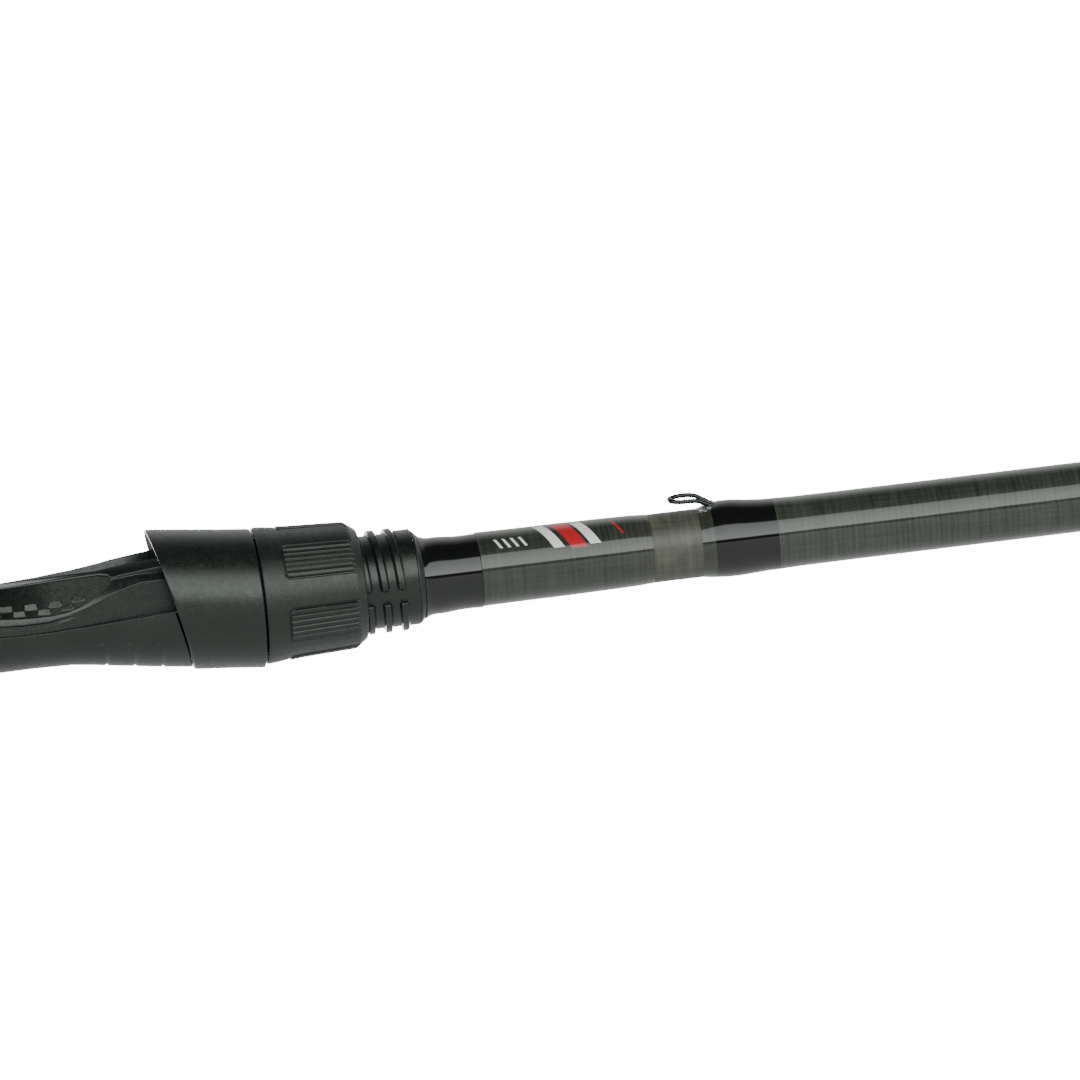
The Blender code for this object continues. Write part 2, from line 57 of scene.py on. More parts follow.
MM = 0.001
SEAM = 336.0
ROUND_SIDES = 128               # points round a plain turned piece
CORNER_STEPS = 4
CORNER_SHARE = 0.45             # the most of an edge that one rounded corner takes up
CORNER_LEAST = 0.01             # a corner rounded by less than this stays sharp

# ------------------------------------------------------------------ mesh helpers


def smooth(edge0, edge1, value):
    """0 below edge0, 1 above edge1, and an S-curve between them."""
    t = np.clip((value - edge0) / (edge1 - edge0), 0.0, 1.0)
    return t * t * (3.0 - 2.0 * t)


def bump(value, centre, half, soft):
    """1 within half of centre, falling to 0 over soft beyond it."""
    return 1.0 - smooth(half, half + soft, np.abs(value - centre))


def along(table, x):
    """Reads a table of (x, value) pairs."""
    return np.interp(x, [row[0] for row in table], [row[1] for row in table])


def spaced(*spans):
    """Positions along the rod: each span is (start, end, step)."""
    runs = [np.linspace(a, b, max(2, int(round((b - a) / step)) + 1)) for a, b, step in spans]
    return np.unique(np.round(np.concatenate(runs), 6))


def angles(count):
    """Evenly spaced angles round the rod, the first at its top."""
    return np.arange(count) * 360.0 / count


def from_top(turn):
    """How far each angle is from the top, on either side."""
    return np.minimum(turn, 360.0 - turn)


def ring_points(x, radius, degrees, centre=(0.0, 0.0)):
    """Points round the rod; x and radius are numbers or one value for each angle."""
    turn = np.radians(degrees)
    x = np.broadcast_to(x, turn.shape)
    return np.stack([x, centre[0] - radius * np.sin(turn), centre[1] + radius * np.cos(turn)],
                    axis=-1)


def loft_mesh(name, rows, wrap_rows=False, caps=False):
    """A mesh over rows of points, each row a closed ring round the rod.

    wrap_rows joins the last row to the first, which makes a piece with a bore. caps closes each
    end with a fan of faces instead.
    """
    rows = np.asarray(rows, dtype=float) * MM
    count, around = rows.shape[:2]
    a = np.arange(count if wrap_rows else count - 1)
    b = np.arange(around)
    grid_a, grid_b = np.meshgrid(a, b, indexing="ij")
    next_a = (grid_a + 1) % count
    next_b = (grid_b + 1) % around
    quads = np.stack([grid_a * around + grid_b, grid_a * around + next_b,
                      next_a * around + next_b, next_a * around + grid_b], axis=-1)
    faces = quads.reshape(-1, 4).tolist()
    points = rows.reshape(-1, 3).tolist()
    if caps:
        for row, flip in ((0, True), (count - 1, False)):
            points.append(rows[row].mean(axis=0).tolist())
            centre = len(points) - 1
            for i in range(around):
                here, ahead = row * around + i, row * around + (i + 1) % around
                faces.append([ahead, here, centre] if flip else [here, ahead, centre])
    mesh = bpy.data.meshes.new(name)
    mesh.from_pydata(points, [], faces)
    mesh.update()
    return mesh


replaced = set()                # CAD nodes that a finer piece stands in for


def add_piece(name, mesh, body, material, nodes=(), sharp=40.0):
    """Adds a piece that rides on a body and stands in for CAD nodes.

    Edges that turn by more than sharp degrees stay crisp.
    """
    mesh.validate()
    mesh.shade_smooth()
    mesh.set_sharp_from_angle(angle=math.radians(sharp))
    mesh.materials.append(material)
    obj = bpy.data.objects.new(name, mesh)
    bpy.context.scene.collection.objects.link(obj)
    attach(obj, body)
    if nodes:
        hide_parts(*nodes)
        replaced.update(nodes)


def soften(profile, radius):
    """Rounds the corners of a closed profile of (x, radius) points.

    A third number in a point is its own rounding.
    """
    points = [np.array(p[:2], dtype=float) for p in profile]
    sizes = [p[2] if len(p) > 2 else radius for p in profile]
    out = []
    for i, here in enumerate(points):
        before, after = points[i - 1], points[(i + 1) % len(points)]
        back, ahead = before - here, after - here
        reach = min(sizes[i], np.linalg.norm(back) * CORNER_SHARE,
                    np.linalg.norm(ahead) * CORNER_SHARE)
        if reach < CORNER_LEAST:
            out.append(here)
            continue
        start = here + back / np.linalg.norm(back) * reach
        end = here + ahead / np.linalg.norm(ahead) * reach
        for step in range(CORNER_STEPS + 1):
            t = step / CORNER_STEPS
            out.append(start * (1 - t) ** 2 + here * 2 * t * (1 - t) + end * t ** 2)
    return out


def shifted(start, *points):
    """Profile points with their x counted from start."""
    return [(start + x, *rest) for x, *rest in points]


def lathe(name, outside, inside, material, node, radius, centre=(0.0, 0.0)):
    """A turned piece of the rod, with a bore and softened corners."""
    profile = soften(outside + inside[::-1], radius)
    turn = angles(ROUND_SIDES)
    rows = [ring_points(x, r, turn, centre) for x, r in profile]
    mesh = loft_mesh(name, rows, wrap_rows=True)
    add_piece(name, mesh, "rod", material, [node])


# ------------------------------------------------------------------ material helpers


class Nodes:
    """A material's or world's node tree, with one short call for each kind of node."""

    def __init__(self, owner, shader="Principled BSDF", place="Object"):
        owner.use_nodes = True
        self.owner = owner
        self.tree = owner.node_tree
        self.shader = self.tree.nodes[shader]
        self.place = self.add("ShaderNodeTexCoord").outputs[place]

    def add(self, kind, **settings):
        node = self.tree.nodes.new(kind)
        for key, value in settings.items():
            setattr(node, key, value)
        return node

    def feed(self, socket, value):
        if hasattr(value, "is_output"):
            self.tree.links.new(value, socket)
        else:
            socket.default_value = value

    def set(self, **values):
        """Sets or links the shader's own sockets; underscores stand for spaces."""
        for key, value in values.items():
            if isinstance(value, tuple) and len(value) == 3:
                value = (*value, 1.0)
            self.feed(self.shader.inputs[key.replace("_", " ")], value)

    def math(self, operation, first, second=0.0, third=0.0):
        node = self.add("ShaderNodeMath", operation=operation)
        for socket, value in zip(node.inputs, (first, second, third)):
            self.feed(socket, value)
        return node.outputs[0]

    def scaled(self, vector, scale):
        node = self.add("ShaderNodeVectorMath", operation="MULTIPLY")
        self.feed(node.inputs[0], vector)
        node.inputs[1].default_value = scale
        return node.outputs[0]

    def xyz(self):
        """The three parts of the place on the surface."""
        node = self.add("ShaderNodeSeparateXYZ")
        self.feed(node.inputs[0], self.place)
        return tuple(node.outputs)

    def noise(self, scale, detail=3.0, roughness=0.5, vector=None):
        node = self.add("ShaderNodeTexNoise")
        self.feed(node.inputs["Vector"], vector or self.place)
        node.inputs["Scale"].default_value = scale
        node.inputs["Detail"].default_value = detail
        node.inputs["Roughness"].default_value = roughness
        return node.outputs["Fac"]

    def cells(self, scale):
        node = self.add("ShaderNodeTexVoronoi")
        self.feed(node.inputs["Vector"], self.place)
        node.inputs["Scale"].default_value = scale
        return node.outputs["Distance"]

    def range(self, value, low, high, to_low, to_high):
        node = self.add("ShaderNodeMapRange")
        for key, number in (("From Min", low), ("From Max", high), ("To Min", to_low),
                            ("To Max", to_high)):
            node.inputs[key].default_value = number
        self.feed(node.inputs["Value"], value)
        return node.outputs["Result"]

    def mix(self, factor, first, second):
        node = self.add("ShaderNodeMix", data_type="RGBA")
        self.feed(node.inputs[0], factor)
        for socket, value in ((node.inputs[6], first), (node.inputs[7], second)):
            self.feed(socket, (*value, 1.0) if isinstance(value, tuple) else value)
        return node.outputs[2]

    def bump(self, height, distance, strength=1.0, normal=None):
        node = self.add("ShaderNodeBump")
        node.inputs["Distance"].default_value = distance
        node.inputs["Strength"].default_value = strength
        self.feed(node.inputs["Height"], height)
        if normal:
            self.feed(node.inputs["Normal"], normal)
        return node.outputs["Normal"]

    def wave(self, value, per_unit):
        """A sine of value, from 0 to 1, with per_unit waves in each unit of it."""
        sine = self.math("SINE", self.math("MULTIPLY", value, 2.0 * math.pi * per_unit))
        return self.math("MULTIPLY_ADD", sine, 0.5, 0.5)

    def swing(self, value, size):
        """A value that runs from 0 to 1, made to swing round 0 and multiplied by size."""
        return self.math("MULTIPLY", self.math("SUBTRACT", value, 0.5), size)


def surface(name):
    """A new material, ready for its nodes."""
    return Nodes(bpy.data.materials.new(name))


PLASTIC_DARK = (0.0032, 0.0041, 0.0034)
PLASTIC_LIGHT = (0.0068, 0.0082, 0.007)
STRANDS_PER_METRE = 930.0
STAIN = (0.082, 0.078, 0.05)    # the brown of the patches on the bare blank
WRAP_THREAD = 0.22 * MM         # width of one turn of the wraps' thread


def moulded_plastic(name, rough, grain=1.0):
    """Soft-touch moulded plastic: a fine leathery grain, uneven sheen, slight mottling."""
    m = surface(name)
    blotch = m.math("ADD", m.math("MULTIPLY", m.noise(140.0, 4.0, 0.6), 0.5),
                    m.math("MULTIPLY", m.noise(2600.0, 2.0), 0.5))
    m.set(Base_Color=m.mix(m.range(blotch, 0.38, 0.62, 0.0, 1.0), PLASTIC_DARK, PLASTIC_LIGHT),
          Roughness=m.range(m.noise(900.0, 2.0), 0.3, 0.7, rough - 0.05, rough + 0.07),
          Specular_IOR_Level=0.5, Specular_Tint=(0.93, 1.0, 0.95))
    fine = m.bump(m.noise(5200.0, 2.0, 0.6), 0.00003, 0.4 * grain)
    m.set(Normal=m.bump(m.noise(2500.0, 3.0, 0.65), 0.00006, 0.34 * grain, fine))
    return m.owner


def add_clear_coat(m):
    """The clear coat of the blank, which isn't quite level."""
    m.set(Coat_Weight=1.0, Coat_Roughness=0.025, Coat_IOR=1.5, Specular_IOR_Level=0.12,
          Coat_Normal=m.bump(m.noise(26.0, 1.0), 0.0004, 0.16))


def carbon(name, dark, light, rough, coat=True, brown=0.0):
    """Carbon cloth round a tube: cross strands about a millimetre apart, showing in patches."""
    m = surface(name)
    x = m.xyz()[0]
    wander = m.swing(m.noise(180.0, 2.0), 1.1 * MM)
    strands = m.wave(m.math("ADD", x, wander), STRANDS_PER_METRE)
    hoops = m.noise(1.0, 2.0, 0.55, m.scaled(m.place, (1150.0, 75.0, 75.0)))
    runs = m.noise(1.0, 2.0, 0.6, m.scaled(m.place, (90.0, 1500.0, 1500.0)))
    patch = m.range(m.noise(45.0, 3.0), 0.42, 0.66, 0.0, 0.3)
    cloth = m.math("ADD", m.swing(strands, patch), hoops)
    cloth = m.math("ADD", cloth, m.swing(runs, 0.7))
    colour = m.mix(m.range(cloth, 0.05, 0.95, 0.0, 1.0), dark, light)
    if brown:
        stain = m.range(m.noise(150.0, 2.0), 0.48, 0.66, 0.0, brown)
        colour = m.mix(stain, colour, STAIN)
    m.set(Base_Color=colour, Roughness=rough, Specular_IOR_Level=0.5,
          Normal=m.bump(cloth, 0.00003, 0.25))
    if coat:
        add_clear_coat(m)
    return m.owner


def thread_wrap(name):
    """Black thread wound edge to edge under a thick clear epoxy."""
    m = surface(name)
    x, y, z = m.xyz()
    turn = m.math("MULTIPLY", m.math("ARCTAN2", y, z), 1.0 / (2.0 * math.pi))
    ridge = m.wave(m.math("ADD", x, m.math("MULTIPLY", turn, WRAP_THREAD)), 1.0 / WRAP_THREAD)
    tint = m.mix(m.math("MULTIPLY", ridge, m.noise(700.0, 2.0)), (0.0008, 0.0011, 0.0009),
                 (0.0026, 0.0034, 0.003))
    m.set(Base_Color=tint, Roughness=m.range(m.noise(300.0, 2.0), 0.3, 0.7, 0.5, 0.62),
          Specular_IOR_Level=0.05, Coat_Weight=1.0, Coat_Roughness=0.02, Coat_IOR=1.52,
          Normal=m.bump(ridge, 0.00003, 0.4),
          Coat_Normal=m.bump(m.noise(70.0, 1.0), 0.0004, 0.12))
    return m.owner


def turned_metal(name, colour, rough, grooves=5200.0):
    """Anodised or polished metal with fine turning marks and rubbed spots."""
    m = surface(name)
    marks = m.noise(1.0, 2.0, 0.5, m.scaled(m.place, (grooves, 60.0, 60.0)))
    rub = m.noise(420.0, 3.0, 0.6)
    tint = m.mix(m.range(rub, 0.4, 0.7, 0.0, 1.0), colour, tuple(c * 1.35 for c in colour))
    m.set(Base_Color=tint, Metallic=1.0, Roughness=m.range(marks, 0.3, 0.7, rough, rough + 0.12),
          Normal=m.bump(marks, 0.00001, 0.3))
    return m.owner


def foam(name):
    """Closed-cell EVA: very dark, with a fine pitted skin."""
    m = surface(name)
    pits = m.cells(1900.0)
    speck = m.noise(2600.0, 2.0)
    m.set(Base_Color=m.mix(m.range(pits, 0.0, 0.6, 1.0, 0.0), (0.011, 0.011, 0.0105),
                           (0.021, 0.021, 0.02)),
          Roughness=m.range(speck, 0.3, 0.7, 0.82, 0.95), Sheen_Weight=0.12, Sheen_Roughness=0.5,
          Normal=m.bump(m.math("ADD", pits, m.math("MULTIPLY", speck, 0.5)), 0.0001, 0.6))
    return m.owner


def paint(name, colour):
    """A printed mark under the same clear coat as the blank."""
    m = surface(name)
    worn = m.range(m.noise(2200.0, 3.0, 0.6), 0.3, 0.6, 0.8, 1.0)
    m.set(Base_Color=m.mix(worn, tuple(c * 0.45 for c in colour), colour), Roughness=0.4)
    add_clear_coat(m)
    return m.owner


def clear_resin(name):
    """A bead of clear epoxy."""
    m = surface(name)
    m.set(Base_Color=m.mix(m.noise(800.0, 2.0), (0.72, 0.76, 0.73), (0.9, 0.93, 0.9)),
          Roughness=0.04, IOR=1.5, Transmission_Weight=0.85,
          Normal=m.bump(m.noise(900.0, 1.0), 0.0001, 0.3))
    return m.owner


def rubber(name):
    """Dull black rubber with a faint grain."""
    m = surface(name)
    grain = m.noise(2400.0, 3.0, 0.6)
    m.set(Base_Color=m.mix(m.noise(260.0, 3.0), (0.009, 0.009, 0.0088), (0.017, 0.0168, 0.016)),
          Roughness=m.range(grain, 0.3, 0.7, 0.55, 0.72), Normal=m.bump(grain, 0.00004, 0.5))
    return m.owner


def ceramic(name):
    """The guides' polished black rings."""
    m = surface(name)
    m.set(Base_Color=m.mix(m.noise(500.0, 2.0), (0.012, 0.012, 0.013), (0.024, 0.024, 0.026)),
          Roughness=m.range(m.noise(900.0, 2.0), 0.3, 0.7, 0.08, 0.16), Specular_IOR_Level=0.7,
          Normal=m.bump(m.noise(1400.0, 1.0), 0.00001, 0.2))
    return m.owner


def cork(name):
    """Pressed cork, for the arbors inside the seat."""
    m = surface(name)
    spots = m.cells(700.0)
    m.set(Base_Color=m.mix(m.range(spots, 0.1, 0.5, 0.0, 1.0), (0.2, 0.13, 0.07),
                           (0.5, 0.37, 0.22)),
          Roughness=m.range(spots, 0.0, 0.6, 0.95, 0.8), Normal=m.bump(spots, 0.0002, 0.5))
    return m.owner


seat_plastic = moulded_plastic("seat_shell", 0.3)
hood_plastic = moulded_plastic("hood_shell", 0.31)
nut_plastic = moulded_plastic("nut_shell", 0.4)
check_rubber = moulded_plastic("check_shell", 0.44, 0.6)
matte_carbon = carbon("bare_carbon", (0.016, 0.017, 0.0125), (0.068, 0.07, 0.055), 0.42, False,
                      0.45)
clear_carbon = carbon("coated_carbon", (0.006, 0.007, 0.0055), (0.038, 0.042, 0.034), 0.4)
butt_carbon = carbon("coated_butt", (0.006, 0.007, 0.0055), (0.036, 0.0395, 0.031), 0.4)
paint_white = paint("mark_white", (0.62, 0.63, 0.61))
paint_red = paint("mark_red", (0.36, 0.012, 0.018))
resin = clear_resin("clear_resin")
wrap_black = thread_wrap("wrap_thread")
gunmetal = turned_metal("gunmetal", (0.06, 0.065, 0.068), 0.2)
wire_metal = turned_metal("keeper_wire", (0.035, 0.038, 0.038), 0.16, 60.0)
frame_metal = turned_metal("guide_frame", (0.03, 0.032, 0.034), 0.22, 700.0)
steel = turned_metal("liner_steel", (0.5, 0.5, 0.49), 0.22)
eva = foam("eva_foam")
cap_rubber = rubber("cap_rubber")
ring_black = ceramic("ring_ceramic")
cork_fill = cork("arbor_cork")

# ------------------------------------------------------------------ reel seat

SEAT_START = 236.0              # from the butt
MOUTH_SLANT = 6.5 / 27.4        # how far the moving hood's mouth leans back for each mm of height
MOUTH_MIDDLE = 319.05           # where that mouth crosses MOUTH_HEIGHT, from the butt
MOUTH_HEIGHT = 1.5


def mouth_x(z):
    """Where the moving hood's mouth is at a height above the axis."""
    return MOUTH_MIDDLE - MOUTH_SLANT * (z - MOUTH_HEIGHT)


# The seat's round body, and the crest of the cradle's side: how far out it is and how high.
BODY = ((-100.0, 11.4), (-99.4, 11.9), (-92.0, 12.45), (-86.0, 12.6), (-80.0, 12.45),
        (-74.0, 12.0), (-68.0, 10.8), (-64.0, 9.8), (-60.0, 9.2), (-56.0, 8.9), (-51.0, 8.75),
        (-44.3, 8.7), (-37.2, 8.85), (-32.6, 9.4), (-27.9, 10.1), (-23.3, 10.75), (-18.7, 11.4),
        (-14.1, 11.95), (-8.0, 12.0))
CREST_Y = ((-68.0, 5.6), (-62.0, 4.6), (-56.0, 3.2), (-50.0, 2.8), (-40.0, 3.6), (-30.0, 4.4),
           (-25.0, 5.0), (-20.0, 5.8), (-8.0, 6.3))
CREST_Z = ((-68.0, 8.6), (-62.0, 8.1), (-50.0, 7.97), (-42.0, 8.3), (-35.0, 8.8), (-30.0, 9.35),
           (-25.0, 10.05), (-20.0, 10.6), (-14.0, 10.95), (-8.0, 11.1))
CREST_BLEND = 14.0              # degrees over which the crest sinks back to the body
CRADLE_OPENS = (-72.0, -66.0)   # where the cradle opens in the top of the palm swell
CRADLE_FLOOR = 7.95             # height of the flat under the reel foot
BED_LEAST = 2.3                 # least half width of that flat
WALL_LEAN = 0.3                 # how far the cradle's wall leans in for each mm of height

# The window in the seat's side and the band round it, in degrees.
WINDOW_TOP = ((-66.0, 34.0), (-60.0, 27.0), (-50.0, 20.5), (-40.0, 24.4), (-35.0, 27.0),
              (-30.5, 30.0), (-28.6, 34.5), (-27.8, 42.0))
WINDOW_BOTTOM = ((-66.0, 58.0), (-58.0, 67.0), (-51.2, 72.0), (-45.7, 75.0), (-40.7, 75.8),
                 (-37.3, 73.4), (-34.5, 68.3), (-31.8, 61.0), (-29.7, 54.0), (-28.4, 47.5),
                 (-27.8, 42.5))
BAND_BOTTOM = ((-66.0, 70.0), (-58.0, 76.0), (-51.4, 80.0), (-45.9, 82.3), (-40.8, 81.6),
               (-36.9, 76.6), (-33.1, 69.6), (-29.9, 62.4), (-27.8, 56.0), (-26.2, 49.0),
               (-25.0, 43.5), (-23.5, 41.0), (-8.0, 41.0))
WINDOW_FRONT = -27.8
SIDE_GROWS = (-66.0, -60.0)     # where the window and the crease grow out of the palm swell
PANEL_DEEPEST = 7.7             # closest the flat window panel comes to the rod's axis
PANEL_TURN = 58.0               # furthest from the top that the panel faces
PANEL_STEP = 0.2                # least depth of the panel under the swell of the rim
PANEL_SET_BACK = 0.06           # how much deeper than its rim the flat panel starts
CRISP = 0.16                    # width of a crisp moulded edge

# Each raised block: middle from the seam, degrees from the top, half length, half height.
BLOCKS = ((-48.9, 58.0, 1.15, 0.62), (-44.1, 58.6, 1.1, 0.6), (-39.4, 58.4, 1.05, 0.5),
          (-34.9, 56.5, 0.95, 0.36), (-51.3, 66.0, 1.1, 0.55), (-46.5, 67.5, 1.05, 0.55),
          (-41.7, 68.0, 1.05, 0.5), (-37.1, 66.0, 0.95, 0.36))
BLOCK_EDGE = 0.2
BLOCK_HEIGHT = 0.22
BLOCK_TILT = 0.2                # how much more its upper edge stands out, and its lower edge less

# The cheek: the lower shell's parting line in degrees, and how far to the side its flat lies.
PARTING = ((-100.0, 96.0), (-70.0, 95.0), (-60.0, 93.5), (-51.6, 95.5), (-46.1, 96.6),
           (-40.5, 96.0), (-33.6, 93.4), (-27.5, 90.5), (-20.4, 87.6), (-12.0, 84.5))
CHEEK_FLAT = ((-70.0, 9.6), (-60.0, 8.9), (-50.0, 8.5), (-42.0, 8.45), (-33.0, 8.65),
              (-28.0, 8.6), (-8.0, 8.5))
SHELF = 10.85                   # radius of the pocket between the rim band and the flat cheek
SHELF_CLEAR = 3.0               # added to it further back, where only the flat cheek cuts in
CREASE_DEPTH = 0.2
PARTING_DEPTH = 0.1

FINGER_GROOVES = (-30.3, -24.9, -19.6)
GROOVE_DEPTH = 0.22
TICK_BEHIND = 1.2               # a small raised tick stands this far behind each groove
TICK_DEGREES = 117.5
TICK_HEIGHT = 0.1

SIDE_POINTS = 420               # points from the middle of the shell's bottom up to the crest
WALL_POINTS = 14                # points from the crest to the middle of the cradle's floor
SLANT_START = -28.0             # rows past here are spread out to end on the hood's slanted mouth
SLANT_ROWS = 16.0               # the length of those rows before they are spread out
SHELL_END = -8.0                # where the cradle ends, under the hood
MOUTH_GAP = 0.35                # between the end of the cheek and the hood's mouth
CHEEK_TOP = 88.0                # degrees; above here the shell runs on under the hood
CAP_INSETS = (0.2, 0.9, 2.2)    # how far in each ring of the shell's front end is
CAP_RADIUS = 7.0


def crest_swell(body, crest_r, away):
    """The radius some degrees away from the crest, which stands out from the round body."""
    return body + (crest_r - body) * np.exp(-(away / CREST_BLEND) ** 2)


def seat_radius(x, degrees, crest_r, first):
    """The seat's radius at x from the seam; first is the crest's angle and crest_r its radius."""
    body = along(BODY, x)
    arc = body * math.pi / 180.0
    radius = crest_swell(body, crest_r, degrees - first)
    # The rim band swells out as it turns into the cheek beside the foot.
    stem = (1.0 - smooth(40.0, 42.5, degrees)) * smooth(-30.0, -26.0, x)
    radius = radius + np.maximum(crest_r + 0.04 - radius, 0.0) * stem
    # The window: a flat sunk panel with crisp edges.
    top, bottom = along(WINDOW_TOP, x), along(WINDOW_BOTTOM, x)
    grown = smooth(*SIDE_GROWS, x)
    rim = crest_swell(body, crest_r, top - first)
    tilt = np.degrees(np.arccos(np.minimum(PANEL_DEEPEST / rim, 1.0)))
    facing = np.minimum(tilt + top, PANEL_TURN)
    panel = rim * np.cos(np.radians(facing - top)) / np.cos(np.radians(degrees - facing))
    panel = np.minimum(panel - PANEL_SET_BACK, radius - PANEL_STEP)
    inside = smooth(0.0, CRISP, (degrees - top) * arc)
    inside = inside * smooth(0.0, CRISP, (bottom - degrees) * arc)
    inside = inside * smooth(0.0, 0.3, WINDOW_FRONT - x) * grown
    radius = radius + (panel - radius) * inside
    # Small raised blocks in the lower half of the window.
    for middle, level, half, height in BLOCKS:
        rise = (level - degrees) * arc
        block = bump(x, middle, half, BLOCK_EDGE) * bump(rise, 0.0, height, BLOCK_EDGE)
        radius = radius + (BLOCK_HEIGHT + BLOCK_TILT * np.clip(rise / height, -1.0, 1.0)) * block
    # The flat cheek under the rim band, and the pocket over it beside the hood.
    below_band = (degrees - along(BAND_BOTTOM, x)) * arc
    above_parting = (along(PARTING, x) - degrees) * arc
    flat = along(CHEEK_FLAT, x) / np.maximum(np.sin(np.radians(degrees)), 0.3)
    shelf = SHELF + SHELF_CLEAR * (1.0 - smooth(-31.0, -25.0, x))
    recess = smooth(0.0, 0.3, below_band) * smooth(0.0, CRISP, above_parting)
    recess = recess * smooth(-72.0, -60.0, x)
    radius = radius + np.minimum(np.minimum(flat, shelf) - radius, 0.0) * recess
    # A crease under the band and the parting line of the lower shell.
    crease = bump(below_band, 0.5, 0.12, 0.3) * (1.0 - smooth(-41.0, -35.0, x)) * grown
    parting = bump(above_parting, 0.05, 0.05, 0.1) * smooth(-99.0, -60.0, x)
    radius = radius - CREASE_DEPTH * crease - PARTING_DEPTH * parting
    # Finger grooves across the bottom of the palm side.
    for middle in FINGER_GROOVES:
        groove = bump(x, middle, 0.1, 0.34) * smooth(116.0, 152.0, degrees)
        tick = bump(x, middle - TICK_BEHIND, 0.5, 0.2) * bump(degrees, TICK_DEGREES, 0.6, 1.0)
        radius = radius - GROOVE_DEPTH * groove + TICK_HEIGHT * tick
    return radius


def row_places(rel, degrees):
    """Where the points of a row go, from the seam: the last rows end on the hood's mouth."""
    if rel <= SLANT_START:
        return np.full(SIDE_POINTS, rel)
    slant = mouth_x(along(BODY, rel) * np.cos(np.radians(degrees))) - MOUTH_GAP - SEAM
    end = slant + (SHELL_END - slant) * smooth(0.0, 2.0, CHEEK_TOP - degrees)
    return SLANT_START + (rel - SLANT_START) / SLANT_ROWS * (end - SLANT_START)


def cradle_wall(y, z, crest_y, crest_z, cradle):
    """The y and z of a row's points in and down the wall, then across the cradle's floor.

    y and z are the row's last point so far, and cradle is how far the cradle has opened, 0 to 1.
    """
    t = np.linspace(0.0, 1.0, WALL_POINTS + 1)[1:]
    bed_y = max(crest_y - max(crest_z - CRADLE_FLOOR, 0.0) * WALL_LEAN, BED_LEAST)
    low = min(CRADLE_FLOOR, crest_z) * cradle + z * (1.0 - cradle)
    wall_y = y + (bed_y - y) * np.minimum(t * 2.0, 1.0)
    wall_y = wall_y * (1.0 - np.maximum(t * 2.0 - 1.0, 0.0))
    return wall_y, z + (low - z) * smooth(0.02, 0.5, t)


def seat_shell():
    """The seat's body: a cradle for the reel foot above, a smooth palm shell below."""
    # The rows lie closer together towards the front, where the side is sculpted.
    xs = spaced((SEAT_START, 268.0, 0.8), (268.0, 284.0, 0.3),
                (284.0, SEAM + SLANT_START + SLANT_ROWS, 0.13))
    share = np.linspace(0.0, 1.0, SIDE_POINTS)
    rows = []
    for x in xs:
        rel = x - SEAM
        crest_y, crest_z = float(along(CREST_Y, rel)), float(along(CREST_Z, rel))
        cradle = float(smooth(*CRADLE_OPENS, rel))
        crest_r = math.hypot(crest_y, crest_z) * cradle + float(along(BODY, rel)) * (1.0 - cradle)
        first = math.degrees(math.atan2(crest_y, crest_z))
        degrees = 180.0 - (180.0 - first) * share
        place = row_places(rel, degrees)
        radius = seat_radius(place, degrees, crest_r, first)
        y, z = radius * np.sin(np.radians(degrees)), radius * np.cos(np.radians(degrees))
        wall_y, wall_z = cradle_wall(y[-1], z[-1], crest_y, crest_z, cradle)
        y = np.concatenate([y, wall_y])
        z = np.concatenate([z, wall_z])
        place = np.concatenate([place, np.full(WALL_POINTS, place[-1])])
        # The far side mirrors the near one, without its first and last points.
        near = np.stack([SEAM + place, -y, z], axis=-1)
        rows.append(np.concatenate([near, near[-2:0:-1] * (1.0, -1.0, 1.0)]))
    last = rows[-1].copy()
    size = np.hypot(last[:, 1], last[:, 2])
    for inset in CAP_INSETS:
        ring = last.copy()
        ring[:, 1:] *= (np.maximum(size - inset, CAP_RADIUS) / size)[:, None]
        ring[:, 0] += 0.1
        rows.append(ring)
    mesh = loft_mesh("seat_shell", rows, caps=True)
    add_piece("seat_shell", mesh, "rod", seat_plastic, ["seat_body"], 50.0)


FIXED_HOOD_MIDDLE = (0.0, 1.3)
FIXED_HOOD_SUNK = 0.8           # how far its lower part lies under the palm swell


def fixed_hood():
    """The fixed hood: a dome round the rear end of the reel foot, sunk into the palm swell."""
    # Both outlines are counted from the butt.
    outside = [(239.0, 9.0), (240.2, 11.0), (242.0, 12.3), (246.0, 13.2), (252.0, 13.6),
               (262.0, 13.75), (269.0, 13.6, 0.7)]
    inside = [(269.0, 12.1, 0.3), (252.0, 12.0), (246.0, 9.0)]
    turn = angles(160)
    sunk = smooth(80.0, 128.0, from_top(turn))
    rows = []
    for x, r in soften(outside + inside, 0.8):
        buried = np.minimum(r, along(BODY, x - SEAM) - FIXED_HOOD_SUNK)
        radius = r * (1.0 - sunk) + buried * sunk
        rows.append(ring_points(x, radius, turn, FIXED_HOOD_MIDDLE))
    mesh = loft_mesh("fixed_hood_shell", rows, wrap_rows=True)
    add_piece("fixed_hood_shell", mesh, "rod", seat_plastic)


BARREL_BORE = 7.4
BARREL_END = 30.45
NECK, SHANK = 8.3, 10.0         # radii of the barrel inside the shell's end, and under the hood
SHANK_FLAT = 7.8                # height of the flat on the barrel's top, under the reel foot
THREAD_PITCH = 3.3
THREAD_ROOT, THREAD_CREST = 9.05, 9.95
KEYWAY = 103.0                  # degrees from the top to the gap in the thread, on each side
KEYWAY_RADIUS = 9.6             # where that gap's width is measured


